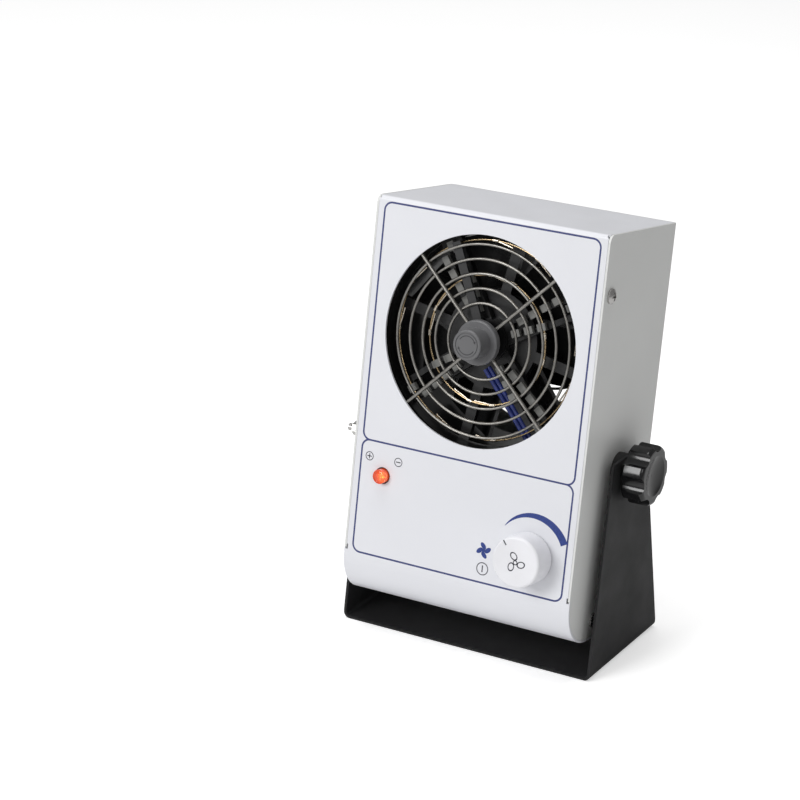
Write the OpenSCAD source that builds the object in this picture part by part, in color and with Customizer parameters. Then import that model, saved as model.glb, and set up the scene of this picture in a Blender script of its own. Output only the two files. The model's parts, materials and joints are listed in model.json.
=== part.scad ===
// Bench-top ionizing blower: a tilting sheet-metal case on a U bracket, with an axial fan,
// a wire outlet grille, two rings of emitter needles and a hand-turned needle brush.
// The bracket stands on the plane z = 0. The case and all it holds are drawn upright in the
// case frame, whose origin is the tilt axis, and tilted() leans them back on the bracket.

/* [Case] */
// Width of the case over its side sheets
case_w = 140; // [134:0.5:150]
// Depth of the case, front face to back face
case_d = 82; // [78:0.5:92]
// Height of the case
case_h = 224; // [218:0.5:236]
// Height of the tilt axis above the underside of the case
axis_up = 94; // [90:0.5:96]
// Thickness of the case sheet
sheet_t = 1.2; // [0.8:0.1:1.6]
// Radius of the rounded nose along the bottom of the front
nose_r = 24; // [18:0.5:28]
// Outside radius of the other sheet bends
bend_r = 2.4; // [2:0.1:4]
// Corner radius of the side sheets at the top of the front
corner_r = 4; // [2:0.5:8]
// Gap along the seams between the two sheets
seam = 0.15; // [0.1:0.05:0.3]
// Depth of the inner flanges
flange_d = 15; // [12:0.5:20]
// Lean of the case on its bracket, backwards from upright
tilt = 10; // [0:1:25]

/* [Bracket] */
// Height of the tilt axis above the bench
axis_h = 108.5; // [107:0.5:130]
// Thickness of the bracket sheet
bracket_t = 1.5; // [1.2:0.1:2.5]
// Depth of the bracket base
base_d = 81; // [75:1:110]
// Depth of each arm at its top
arm_top_d = 40; // [34:1:50]
// Height of the arms above the tilt axis
arm_up = 9.7; // [8:0.1:14]
// Corner radius of the arms
arm_corner_r = 2.5; // [1:0.5:6]
// Gap between an arm and the case
arm_gap = 6; // [5:0.25:8]
// Outside radius of the bracket bends
bracket_bend_r = 3.5; // [3:0.25:6]
// Distance between the two bench holes
bench_pitch = 100; // [80:1:120]
// Diameter of the bench holes
bench_hole_d = 5.5; // [4.5:0.1:6.5]
// Distance of the bench holes behind the tilt axis
bench_hole_y = 18; // [10:1:28]

/* [Outlet] */
// Diameter of the outlet and the intake
opening_d = 115; // [108:0.5:117]
// Height of the fan centre below the top of the case
opening_drop = 68.8; // [66:0.2:72]
// Wire diameter of the guard rings
ring_wire_d = 1.6; // [1.2:0.1:2]
// Wire diameter of the guard spokes
spoke_wire_d = 2; // [1.6:0.1:2.4]
// Radius of the innermost guard ring
first_ring_r = 20.5; // [18:0.5:22]
// Distance from one guard ring to the next
ring_pitch = 7.9; // [7.2:0.1:8.2]
// Number of guard rings
ring_count = 6; // [5:1:6]

/* [Fan] */
// Side of the square fan frame
fan_size = 120; // [118:0.5:122]
// Thickness of the fan
fan_t = 38; // [30:1:42]
// Distance of the fan's fixing holes from its edges
fan_hole_inset = 7.5; // [7:0.25:8]
// Diameter of the weld studs that carry the fan and the guard
stud_d = 4; // [3:0.5:5]
// Diameter of the fan hub
hub_d = 54; // [48:1:60]
// Number of fan blades
blade_count = 7; // [5:1:7]
// Thickness of a fan blade
blade_t = 1.8; // [1.4:0.1:2.4]
// Angle of the blades to the plane of the fan
blade_pitch = 34; // [32:1:45]
// Gap between the blade tips and the frame
tip_gap = 1.5; // [1:0.1:2.5]

/* [Emitters] */
// Radius of the inner wire ring
inner_ring_r = 35; // [33:0.5:37]
// Radius of the outer wire ring
outer_ring_r = 54; // [51:0.5:55]
// Wire diameter of the two rings
hv_wire_d = 1; // [0.8:0.1:1.2]
// Length of an emitter needle
needle_l = 11; // [8:0.5:13]
// Diameter of an emitter needle
needle_d = 0.9; // [0.6:0.1:1.2]
// Angle of the first emitter arm
arm_angle = 29; // [20:1:40]
// Width of an emitter arm
emitter_arm_w = 13; // [11:0.5:16]

/* [Knobs] */
// Diameter of the speed knob
speed_knob_d = 28; // [24:0.5:30]
// Height of the speed knob
speed_knob_h = 14.8; // [12:0.2:18]
// Speed knob centre, right of the middle
speed_x = 43; // [38:0.5:48]
// Speed knob centre, below the tilt axis
speed_drop = 48; // [44:0.5:52]
// Direction of the pointer of the speed knob, anticlockwise from the right
pointer_angle = 128; // [90:1:180]
// Diameter of the cap of the cleaning knob
cleaner_cap_d = 16.8; // [14:0.2:18]
// Diameter of the skirt of the cleaning knob
cleaner_skirt_d = 24.6; // [22:0.2:28]
// Height of the cleaning knob in front of the case
cleaner_h = 13.5; // [10:0.5:16]
// Diameter of the clamp knob
clamp_d = 33; // [28:0.5:36]
// Thickness of the clamp knob
clamp_t = 13; // [11:0.5:16]
// Number of lobes of the clamp knob
lobe_count = 7; // [6:1:9]
// Diameter of the clamp stud and the pivot screw
clamp_stud_d = 6; // [5:0.5:6]
// Diameter of the indicator lens
lens_d = 8; // [6:0.5:9]
// Height of the indicator lens in front of the case
lens_h = 3.8; // [2:0.2:6]
// Indicator centre, left of the middle
lens_x = 50.5; // [44:0.5:54]
// Indicator centre, below the tilt axis
lens_drop = 22.5; // [20:0.5:30]

/* [Power inlet] */
// Width of the body of the mains inlet
inlet_w = 28; // [27:0.5:30]
// Height of the body of the mains inlet
inlet_h = 32; // [31:0.5:36]
// Inlet centre, left of the middle
inlet_x = 34; // [28:1:36]
// Inlet centre, below the tilt axis
inlet_drop = 58; // [54:1:64]

/* [Fits] */
// Radial clearance of a shaft that turns in a bore
run_fit = 0.05; // [0.02:0.01:0.08]
// Radial clearance of a fixed piece in its hole
hole_fit = 0.15; // [0.1:0.05:0.3]
// Gap between pieces that pass or face each other
gap = 0.3; // [0.3:0.05:0.5]

/* [Hidden] */
$fn = 48;

// Case, in the case frame
case_top = case_h - axis_up;
case_bottom = -axis_up;
front_y = -case_d / 2;
back_y = case_d / 2;
side_x = case_w / 2;
flange_x = side_x - sheet_t - seam;
nose_top = case_bottom + nose_r + 3;
fan_z = case_top - opening_drop;
notch_w = 1.6;
notch_h = 3;
side_screws = [[front_y + 7.5, case_top - 32.5], [-10, case_bottom + 11]];

// Bracket
arm_in_x = side_x + arm_gap;
arm_out_x = arm_in_x + bracket_t;
bracket_w = 2 * arm_out_x;
arm_top_h = axis_h + arm_up;
ground_x = arm_out_x;
ground_y = -17;
ground_z = axis_h - 3.2;
ground_d = 4;
ground_nut_w = 7;
ground_nut_t = 3.2;
ground_washer_t = 0.8;

// Depths behind the front face of the case
spoke_depth = sheet_t + 0.1 + spoke_wire_d / 2;
ring_depth = spoke_depth + spoke_wire_d / 2 + ring_wire_d / 2 - 0.3;
eyelet_t = spoke_wire_d + 0.1;
eyelet_r = 4.5;
hub_plate_r = 11;
brush_depth = ring_depth + ring_wire_d / 2 + gap;
brush_t = 1.5;
bristle_l = 1.7;
holder_front = brush_depth + brush_t + bristle_l + gap;
wire_depth = holder_front + hv_wire_d;
holder_t = 2.4;
arm_depth = holder_front + holder_t;
arm_t = 4;
fan_depth = arm_depth + arm_t + gap;
duct_in_r = opening_d / 2 + 1;
duct_t = 1.8;
stud_l = fan_depth + fan_t + 7;
fan_nut_t = 3.2;
stud_nut_w = stud_d * 1.75;

// Fan
fan_pitch = fan_size - 2 * fan_hole_inset;
fan_bore_r = fan_size / 2 - 2;
fan_flange_t = 4;
strut_t = 3.5;
tip_r = fan_bore_r - tip_gap;
rotor_depth = fan_depth + strut_t + 1.5;
rotor_h = fan_t - strut_t - 3.5;
rotor_wall = 2.5;
fan_shaft_d = 5;
stator_r = hub_d / 2 - rotor_wall - 2;
blade_r = 45;

// Emitters
arm_angles = [for (s = [0, 91, 190, 282]) arm_angle + s];
inner_needle_steps = [40, 63];
outer_needle_steps = [33, 62];
lead_d = 2.6;
holder_w = 4;
holder_l = 5;
near_row_r = [18, 26, inner_ring_r - 1];
far_row_r = [24, 32, 40, 48];
row_angle = 7;
emitter_hub_r = 12;
crimp_d = 2;
crimp_l = 3.2;

// Knobs
cleaner_shaft_d = 6;
pot_shaft_d = 6;
pot_bush_d = 9;
pot_body_d = 24;
pot_body_t = 10;
pot_nut_w = 12;
pot_nut_t = 2.5;
knob_gap = 0.5;
knob_cavity_r = 8;
knob_cavity_t = 5;
skirt_front = 3;
clamp_washer_t = 1.5;
clamp_in_x = arm_out_x + clamp_washer_t + 0.4;
clamp_out_x = clamp_in_x + clamp_t;
pivot_nut_w = 10;
pivot_nut_t = 7;
pivot_head_t = 4;
pivot_head_d = 11;

// Inner boxes
floor_z = case_bottom + sheet_t;
supply_size = [50, 44, 32];
supply_pos = [side_x - sheet_t - 5.8 - supply_size[0] / 2, 14];
supply_ear = 8;
board_w = case_w - 2 * sheet_t - supply_size[0] - 15.6;
board_size = [board_w, 50, 1.6];
board_pos = [sheet_t + 4.8 + board_w / 2 - side_x, 7];
board_up = 8;
board_screw_d = 3;

// Inlet
inlet_depth = 26;
inlet_flange_t = 2.5;
inlet_flange_w = 50;
inlet_screw_pitch = 40;
drawer_w = 20;
drawer_h = 8;
drawer_l = 22;
fuse_d = 5;
fuse_l = 18;

// ---- Frames and shared shapes ----

// Leans the case frame back on the bracket
module tilted() {
    translate([0, 0, axis_h]) rotate([-tilt, 0, 0]) children();
}

// Places front-view work at a depth behind the front face; its z axis points out of the front
module on_front(x, z, depth) {
    translate([x, front_y + depth, z]) rotate([90, 0, 0]) children();
}

// Places back-view work on the back face; its z axis points out of the back
module on_back(x, z) {
    translate([x, back_y, z]) rotate([90, 0, 180]) children();
}

// Places work on the outside of a side sheet; its z axis points out of the side
module on_side(s, y, z, x = side_x) {
    translate([s * x, y, z]) rotate([0, s * 90, 0]) children();
}

module tube(r, h, bore) {
    difference() {
        cylinder(r = r, h = h);
        translate([0, 0, -1]) cylinder(r = bore, h = h + 2);
    }
}

module torus(r, wire_d) {
    rotate_extrude($fn = 96) translate([r, 0]) circle(d = wire_d, $fn = 20);
}

module hex_nut(across, h, bore) {
    difference() {
        cylinder(d = across / cos(30), h = h, $fn = 6);
        translate([0, 0, -1]) cylinder(r = bore, h = h + 2);
    }
}

// Rectangle with round corners, centred
module round_rect(w, h, r) {
    square([w - 2 * r, h], center = true);
    square([w, h - 2 * r], center = true);
    for (sx = [-1, 1], sy = [-1, 1]) translate([sx * (w / 2 - r), sy * (h / 2 - r)]) circle(r);
}

// Pan-head screw with a cross recess; the head sits on z = 0 and the shank points down
module pan_screw(head_d, head_h, shank_d, shank_l) {
    dome_r = head_d * 0.75;
    difference() {
        intersection() {
            cylinder(d = head_d, h = head_h);
            translate([0, 0, head_h - dome_r]) sphere(dome_r);
        }
        for (a = [0, 90]) rotate([0, 0, a]) translate([0, 0, head_h])
            cube([head_d * 0.55, head_d * 0.13, head_h], center = true);
    }
    translate([0, 0, -shank_l]) cylinder(d = shank_d, h = shank_l);
}

// Side outline of the case in the y-z plane: top corner and nose rounded, drawn towards the back
module side_outline(inset, top_r, back) {
    y0 = front_y + inset;
    z0 = case_bottom + inset;
    z1 = case_top - inset;
    r = nose_r - inset;
    translate([y0 + r, z0]) square([back - y0 - r, z1 - top_r - z0]);
    translate([y0, z0 + r]) square([r, z1 - top_r - z0 - r]);
    translate([y0 + top_r, z1 - top_r]) square([back - y0 - top_r, top_r]);
    translate([y0 + r, z0 + r]) circle(r, $fn = 96);
    translate([y0 + top_r, z1 - top_r]) circle(top_r);
}

// Extrudes a y-z drawing along x, centred
module along_x(w) {
    rotate([90, 0, 90]) translate([0, 0, -w / 2]) linear_extrude(w) children();
}

// ---- Bracket ----

// Points of an arc that rounds the corner b between a and c
function unit(v) = v / norm(v);
function rounded(a, b, c, r, n = 5) =
    let (u = unit(a - b), v = unit(c - b), half = acos(u * v) / 2,
         mid = b + unit(u + v) * r / sin(half), start = b + u * r / tan(half) - mid,
         turn = (180 - 2 * half) * sign(u[1] * v[0] - u[0] * v[1]))
    [for (i = [0:n]) let (t = turn * i / n)
        mid + [start[0] * cos(t) - start[1] * sin(t), start[0] * sin(t) + start[1] * cos(t)]];

module arm_outline() {
    foot = 5;
    left = [-arm_top_d / 2, arm_top_h];
    right = [arm_top_d / 2, arm_top_h];
    foot_left = [-base_d / 2, foot];
    foot_right = [base_d / 2, foot];
    polygon(concat(
        [[-base_d / 2, 0], foot_left], rounded(foot_left, left, right, arm_corner_r),
        rounded(left, right, foot_right, arm_corner_r), [foot_right, [base_d / 2, 0]]));
}

module u_profile(w, r) {
    translate([-w / 2 + r, 0]) square([w - 2 * r, axis_h + 2 * arm_up]);
    translate([-w / 2, r]) square([w, axis_h + 2 * arm_up - r]);
    for (s = [-1, 1]) translate([s * (w / 2 - r), r]) circle(r);
}

module u_bracket() {
    color("#1c1c1e") difference() {
        intersection() {
            rotate([90, 0, 0]) translate([0, 0, -base_d / 2]) linear_extrude(base_d) difference() {
                u_profile(bracket_w, bracket_bend_r);
                translate([0, bracket_t])
                    u_profile(bracket_w - 2 * bracket_t, bracket_bend_r - bracket_t);
            }
            along_x(bracket_w + 2) arm_outline();
        }
        translate([-bracket_w, 0, axis_h]) rotate([0, 90, 0])
            cylinder(d = clamp_stud_d + 4 * run_fit + 0.2, h = 2 * bracket_w);
        translate([-ground_x - 1, ground_y, ground_z]) rotate([0, 90, 0])
            cylinder(d = ground_d + 2 * hole_fit, h = bracket_t + 2);
        for (s = [-1, 1]) translate([s * bench_pitch / 2, bench_hole_y, -1])
            cylinder(d = bench_hole_d, h = bracket_t + 2);
    }
}

// Work on the left arm, z axis pointing out of the arm
module on_left_arm() {
    translate([-ground_x, ground_y, ground_z]) rotate([0, -90, 0]) children();
}

module ground_stud() {
    head_t = 2.4;
    color("silver") on_left_arm() {
        translate([0, 0, -bracket_t - head_t]) cylinder(d = 8, h = head_t);
        translate([0, 0, -bracket_t - 0.1]) cylinder(d = ground_d, h = bracket_t + 10.8);
    }
}

module ground_nuts() {
    bore = ground_d / 2 + run_fit;
    color("silver") on_left_arm() {
        tube(4.5, ground_washer_t, bore);
        translate([0, 0, ground_washer_t]) hex_nut(ground_nut_w, ground_nut_t, bore);
        translate([0, 0, ground_washer_t + ground_nut_t + 0.2]) rotate([0, 0, 20])
            hex_nut(ground_nut_w, ground_nut_t, bore);
    }
}

// ---- Case sheets ----

module front_shell() {
    color("#e4e4ee") tilted() difference() {
        union() {
            // front and top between the side sheets, nose and bottom over the full width
            intersection() {
                along_x(2 * flange_x) shell_section(back_y - sheet_t - seam);
                translate([-case_w, -case_d, nose_top - 0.01]) cube([2 * case_w, 2 * case_d, case_h]);
            }
            intersection() {
                along_x(case_w) shell_section(back_y);
                translate([-case_w, -case_d, nose_top - case_h]) cube([2 * case_w, 2 * case_d, case_h]);
            }
            for (s = [-1, 1]) {
                shell_flange(s, front_y + sheet_t - 0.01, nose_top + 4, flange_d,
                             case_top - bend_r - nose_top - 8);
                shell_flange(s, side_screws[1][0] - 10, floor_z - 0.01, 20, 17);
            }
            // rear hem of the top sheet
            translate([-flange_x + 8, back_y - 2 * sheet_t - 2 * seam, case_top - 10])
                cube([2 * flange_x - 16, sheet_t, 10 - sheet_t / 2]);
        }
        on_front(0, fan_z, sheet_t + 1) cylinder(d = opening_d, h = sheet_t + 2, $fn = 96);
        on_front(speed_x, -speed_drop, sheet_t + 1)
            cylinder(d = pot_bush_d + 2 * hole_fit, h = sheet_t + 2);
        on_front(-lens_x, -lens_drop, sheet_t + 1) cylinder(d = lens_d + 1.4, h = sheet_t + 2);
        for (s = [-1, 1]) {
            // relief notches where the sheet changes width, and at the top bend
            translate([s * flange_x - notch_w / 2, front_y - 1, nose_top - 1])
                cube([notch_w, sheet_t + 2, notch_h]);
            translate([s * (flange_x - 0.2), front_y + 1, case_top + 1])
                rotate([180, 0, 0]) cylinder(d = 1.8, h = 3);
            for (p = side_screws) on_side(s, p[0], p[1], side_x - sheet_t - 5)
                cylinder(d = 4 + 2 * run_fit, h = 6);
        }
    }
}

// Section of the shell sheet: front, top, nose and bottom
module shell_section(back) {
    difference() {
        side_outline(0, bend_r, back);
        side_outline(sheet_t, bend_r - sheet_t, back_y + 1);
    }
}

module shell_flange(s, y, z, d, h) {
    translate([s * (flange_x - sheet_t / 2) - sheet_t / 2, y, z]) cube([sheet_t, d, h]);
}

// Outline of the side sheets: flush with the front above the nose, tucked inside it below
module wrap_outline() {
    tuck = sheet_t + seam;
    difference() {
        side_outline(0, corner_r, back_y);
        translate([front_y - 1, case_bottom - 1]) square([case_d + 2, nose_top + seam - case_bottom + 1]);
    }
    intersection() {
        side_outline(tuck, corner_r, back_y);
        translate([front_y, case_bottom]) square([case_d, nose_top + 2 * seam - case_bottom]);
    }
}

module wrap_plan(w, d, r) {
    translate([-w / 2, -case_d]) square([w, case_d + d - r]);
    translate([-w / 2 + r, -case_d]) square([w - 2 * r, case_d + d]);
    for (s = [-1, 1]) translate([s * (w / 2 - r), d - r]) circle(r);
}

module wrap_cover() {
    color("#a9a9a6") tilted() difference() {
        intersection() {
            translate([0, 0, case_bottom - 1]) linear_extrude(case_h + 2) difference() {
                wrap_plan(case_w, back_y, bend_r);
                wrap_plan(case_w - 2 * sheet_t, back_y - sheet_t, bend_r - sheet_t);
            }
            along_x(case_w + 2) wrap_outline();
        }
        for (s = [-1, 1]) {
            for (p = side_screws) on_side(s, p[0], p[1], side_x - sheet_t - 1)
                cylinder(d = 4 + 2 * hole_fit, h = sheet_t + 2);
            on_side(s, 0, 0, side_x - sheet_t - 1)
                cylinder(d = clamp_stud_d + 2 * hole_fit, h = sheet_t + 2);
        }
        on_back(0, fan_z) {
            translate([0, 0, -sheet_t - 1]) cylinder(d = opening_d, h = sheet_t + 2, $fn = 96);
            guard_corners() translate([0, 0, -sheet_t - 1]) cylinder(d = stud_d + 2 * run_fit, h = 9);
        }
        on_inlet() {
            translate([0, 0, -sheet_t - 1]) linear_extrude(sheet_t + 2)
                square([inlet_w + 2 * hole_fit, inlet_h + 2 * hole_fit], center = true);
            inlet_ears() translate([0, 0, -sheet_t - 1]) cylinder(d = 3 + 2 * run_fit, h = 9);
        }
    }
}

module cover_screws() {
    color("silver") tilted() for (s = [-1, 1], p = side_screws)
        on_side(s, p[0], p[1]) pan_screw(8.4, 2.6, 4, 6);
}

// ---- Tilt axis ----

module pivot_nuts() {
    color("silver") tilted() for (s = [-1, 1])
        on_side(s, 0, 0, side_x - sheet_t - pivot_nut_t)
            hex_nut(pivot_nut_w, pivot_nut_t, clamp_stud_d / 2 + run_fit);
}

module pivot_spacers() {
    color("#202020") tilted() for (s = [-1, 1])
        on_side(s, 0, 0, side_x) tube(9, arm_gap - 0.1, clamp_stud_d / 2 + run_fit);
}

module pivot_screw() {
    color("silver") tilted() on_side(-1, 0, 0, arm_out_x + 0.1) difference() {
        union() {
            cylinder(d = pivot_head_d, h = pivot_head_t);
            translate([0, 0, -arm_out_x - 0.1 + side_x - sheet_t - pivot_nut_t - 3])
                cylinder(d = clamp_stud_d, h = arm_out_x - side_x + sheet_t + pivot_nut_t + 4);
        }
        translate([0, 0, pivot_head_t - 2]) cylinder(d = 5.5, h = 3, $fn = 6);
    }
}

module clamp_washer() {
    color("silver") tilted() on_side(1, 0, 0, arm_out_x + 0.1)
        tube(8, clamp_washer_t, clamp_stud_d / 2 + run_fit);
}

module clamp_knob() {
    flute_r = clamp_d * 0.17;
    dish_r = clamp_d * 0.9;
    dish_depth = 2.2;
    color("#151515") tilted() on_side(1, 0, 0, clamp_in_x) difference() {
        intersection() {
            linear_extrude(clamp_t) difference() {
                circle(d = clamp_d, $fn = 96);
                for (i = [0:lobe_count - 1]) rotate(360 * (i + 0.5) / lobe_count)
                    translate([clamp_d / 2 + flute_r * 0.45, 0]) circle(flute_r);
            }
            rotate_extrude($fn = 96) knob_section(clamp_d / 2, clamp_t, 2.4, 1.4);
        }
        // dished face
        translate([0, 0, clamp_t - dish_depth + dish_r]) sphere(dish_r, $fn = 96);
        translate([0, 0, -1]) cylinder(r = clamp_stud_d / 2 + run_fit / 2, h = clamp_t * 0.6 + 1);
    }
}

// Half section of a round knob with rounded front and back edges
module knob_section(r, h, front_r, back_r) {
    square([r - front_r, h]);
    translate([0, back_r]) square([r, h - front_r - back_r]);
    translate([0, 0]) square([r - back_r, h / 2]);
    translate([r - front_r, h - front_r]) circle(front_r);
    translate([r - back_r, back_r]) circle(back_r);
}

module clamp_stud() {
    tip_x = side_x - sheet_t - pivot_nut_t - 3;
    color("silver") tilted() on_side(1, 0, 0, tip_x)
        cylinder(d = clamp_stud_d, h = clamp_in_x + clamp_t * 0.6 - tip_x - gap);
}

// ---- Outlet ----

// Copies its children to the four fixing points of the fan
module guard_corners() {
    for (sx = [-1, 1], sy = [-1, 1]) translate([sx, sy] * fan_pitch / 2) children();
}

// Wire finger guard: rings welded on four spokes that end in flat eyelets. The drawing plane is
// the outer face of the eyelets, and the rings lie behind the spokes.
module wire_guard(hub_bore) {
    spoke_z = -spoke_wire_d / 2;
    ring_z = spoke_z - spoke_wire_d / 2 - ring_wire_d / 2 + 0.3;
    corner_r = fan_pitch / sqrt(2);
    for (i = [0:ring_count - 1])
        translate([0, 0, ring_z]) torus(first_ring_r + ring_pitch * i, ring_wire_d);
    difference() {
        union() {
            for (a = [45:90:315]) rotate([0, 0, a]) translate([hub_plate_r - 1, 0, spoke_z])
                rotate([0, 90, 0]) cylinder(d = spoke_wire_d, h = corner_r - hub_plate_r, $fn = 20);
            guard_corners() translate([0, 0, -eyelet_t]) cylinder(r = eyelet_r, h = eyelet_t + 0.1);
            translate([0, 0, -eyelet_t]) cylinder(r = hub_plate_r, h = eyelet_t);
        }
        guard_corners() translate([0, 0, -eyelet_t - 1])
            cylinder(d = stud_d + 2 * hole_fit, h = eyelet_t + 2);
        translate([0, 0, -eyelet_t - 1]) cylinder(r = hub_bore, h = eyelet_t + 2);
    }
}

module outlet_grille() {
    color("#8d8d8a") tilted() on_front(0, fan_z, sheet_t + 0.1)
        wire_guard(cleaner_shaft_d / 2 + run_fit);
}

module fan_studs() {
    color("silver") tilted() on_front(0, fan_z, stud_l)
        guard_corners() cylinder(d = stud_d, h = stud_l - sheet_t);
}

module fan_nuts() {
    color("silver") tilted() on_front(0, fan_z, fan_depth + fan_t + fan_nut_t)
        guard_corners() hex_nut(stud_nut_w, fan_nut_t, stud_d / 2 + run_fit);
}

// ---- Emitters ----

module emitter_frame() {
    depth = fan_depth - gap;
    front = sheet_t + 0.1 + eyelet_t;
    color("#161616") tilted() difference() {
        on_front(0, fan_z, depth) {
            tube(duct_in_r + duct_t, depth - ring_depth - ring_wire_d, duct_in_r, $fn = 96);
            guard_corners() cylinder(r = eyelet_r, h = depth - front);
            for (a = [45:90:315]) rotate([0, 0, a]) translate([duct_in_r + 0.6, -2.5, 0])
                cube([fan_pitch / sqrt(2) - duct_in_r - 3, 5, arm_t]);
            for (a = arm_angles) rotate([0, 0, a]) translate([emitter_hub_r - 2, -emitter_arm_w / 2, 0])
                difference() {
                    cube([duct_in_r - emitter_hub_r + 3, emitter_arm_w, arm_t]);
                    translate([6, 3.2, -1]) cube([duct_in_r - emitter_hub_r - 10, emitter_arm_w - 6.4, arm_t + 2]);
                }
            cylinder(r = emitter_hub_r, h = depth - holder_front);
        }
        on_front(0, fan_z, brush_depth + brush_t + bristle_l + 5.5)
            cylinder(r = cleaner_shaft_d / 2 + run_fit, h = 10);
        on_front(0, fan_z, depth + 1) guard_corners() cylinder(r = stud_d / 2 + hole_fit, h = depth + 2);
        for (i = [0, 1]) on_lead(i) translate([0, 0, emitter_hub_r + 1]) cylinder(d = lead_d + 2 * gap, h = 60);
    }
}

module needle_holders() {
    color("#b4b4ae") tilted() difference() {
        on_front(0, fan_z, arm_depth) for (a = arm_angles) {
            for (r = near_row_r) holder(a - row_angle, r);
            for (r = far_row_r) holder(a + row_angle, r);
            holder(a, outer_ring_r);
        }
        for (r = [inner_ring_r, outer_ring_r])
            on_front(0, fan_z, wire_depth) torus(r, hv_wire_d + 2 * run_fit);
    }
}

module holder(a, r) {
    rotate([0, 0, a]) translate([r - holder_l / 2, -holder_w / 2, 0]) cube([holder_l, holder_w, holder_t]);
}

module inner_wire_ring() {
    color("#b08c50") tilted() on_front(0, fan_z, wire_depth) torus(inner_ring_r, hv_wire_d);
}

module outer_wire_ring() {
    color("#b08c50") tilted() on_front(0, fan_z, wire_depth) torus(outer_ring_r, hv_wire_d);
}

// Needles on a ring: a crimp round the wire and a needle that leaves it slanting inwards
module needle_set(ring_r, steps, slant) {
    for (a = arm_angles, s = steps) rotate([0, 0, a + s])
        translate([ring_r, 0, 0]) difference() {
            union() {
                rotate([90, 0, 0]) translate([0, 0, -crimp_l / 2]) cylinder(d = crimp_d, h = crimp_l, $fn = 20);
                rotate([90, 0, -slant]) cylinder(d = needle_d, h = needle_l, $fn = 16);
            }
            translate([-ring_r, 0, 0]) torus(ring_r, hv_wire_d + 2 * run_fit);
        }
}

module inner_needles() {
    color("#d8d8d4") tilted() on_front(0, fan_z, wire_depth)
        needle_set(inner_ring_r, inner_needle_steps, 14);
}

module outer_needles() {
    color("#d8d8d4") tilted() on_front(0, fan_z, wire_depth)
        needle_set(outer_ring_r, outer_needle_steps, 14);
}

// High-voltage leads: side by side along the lower right arm, out through the duct wall, then
// down behind the front and back to the supply
lead_depth = arm_depth + lead_d / 2 + gap;
lead_end_x = duct_in_r + duct_t + lead_d;

// Places work at a lead: its z axis points outwards along the arm
module on_lead(i) {
    on_front(0, fan_z, lead_depth) rotate([0, 0, arm_angles[3]])
        translate([0, -emitter_arm_w / 2 - lead_d / 2 - 2 * gap - i * (lead_d + gap), 0])
            rotate([0, 90, 0]) children();
}

module hv_leads() {
    a = arm_angles[3];
    turn_z = fan_z - fan_size / 2 - 2 * lead_d;
    bead = lead_d + 0.5;
    color("#28418f") tilted() for (i = [0, 1]) {
        side = -emitter_arm_w / 2 - lead_d / 2 - 2 * gap - i * (lead_d + gap);
        x = lead_end_x * cos(a) - side * sin(a);
        z = fan_z + lead_end_x * sin(a) + side * cos(a);
        y = front_y + lead_depth;
        on_lead(i) translate([0, 0, emitter_hub_r]) cylinder(d = lead_d, h = lead_end_x - emitter_hub_r, $fn = 20);
        translate([x, y, z]) sphere(d = bead, $fn = 20);
        translate([x, y, turn_z]) cylinder(d = lead_d, h = z - turn_z, $fn = 20);
        translate([x, y, turn_z]) sphere(d = bead, $fn = 20);
        translate([x, y, turn_z]) rotate([-90, 0, 0]) cylinder(d = lead_d, h = supply_pos[1] - y, $fn = 20);
        translate([x, supply_pos[1], turn_z]) sphere(d = bead, $fn = 20);
        translate([x, supply_pos[1], floor_z + supply_size[2] - 1.3])
            cylinder(d = lead_d, h = turn_z - floor_z - supply_size[2] + 1.3, $fn = 20);
    }
}

// ---- Fan ----

module fan_frame() {
    color("#1b1b1b") tilted() difference() {
        on_front(0, fan_z, fan_depth + fan_t) {
            for (z = [0, fan_t - fan_flange_t]) translate([0, 0, z])
                linear_extrude(fan_flange_t) round_rect(fan_size, fan_size, 6);
            intersection() {
                cylinder(r = fan_bore_r + 2.5, h = fan_t, $fn = 96);
                linear_extrude(fan_t) square(fan_size, center = true);
            }
        }
        on_front(0, fan_z, fan_depth + fan_t + 1) {
            cylinder(r = fan_bore_r, h = fan_t + 2, $fn = 96);
            guard_corners() cylinder(r = stud_d / 2 + hole_fit, h = fan_t + 2);
        }
    }
    // struts and motor seat on the outlet side
    color("#1b1b1b") tilted() on_front(0, fan_z, fan_depth + strut_t) difference() {
        union() {
            cylinder(d = hub_d, h = strut_t);
            for (i = [0:3]) rotate([0, 0, arm_angle + 50 + 90 * i]) translate([0, -3, 0])
                cube([fan_bore_r + 1, 6, strut_t]);
        }
        translate([0, 0, -1]) cylinder(d = fan_shaft_d + 2 * run_fit, h = strut_t + 2);
    }
}

module fan_stator() {
    h = rotor_h - 6;
    color("#7c5a36") tilted() on_front(0, fan_z, fan_depth + strut_t + h)
        tube(stator_r, h, fan_shaft_d / 2 + run_fit);
}

module fan_rotor() {
    seat = 2;
    color("#242424") tilted() on_front(0, fan_z, rotor_depth + rotor_h) {
        difference() {
            cylinder(d = hub_d, h = rotor_h);
            translate([0, 0, rotor_wall]) cylinder(r = hub_d / 2 - rotor_wall, h = rotor_h);
            translate([0, 0, -1]) cylinder(r = fan_shaft_d / 2 + run_fit / 2, h = rotor_wall + 2);
        }
        for (i = [0:blade_count - 1]) rotate([0, 0, 360 / blade_count * i]) intersection() {
            tube(tip_r, rotor_h, hub_d / 2 - 0.4, $fn = 96);
            translate([0, 0, rotor_h / 2]) translate([0, -blade_r * sin(blade_pitch), blade_r * cos(blade_pitch)])
                rotate([0, 90, 0]) tube(blade_r + blade_t / 2, fan_size, blade_r - blade_t / 2, $fn = 96);
            translate([0, -fan_size / 5, seat / 2]) cube([fan_size, fan_size * 2 / 5, rotor_h - seat]);
        }
    }
}

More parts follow.
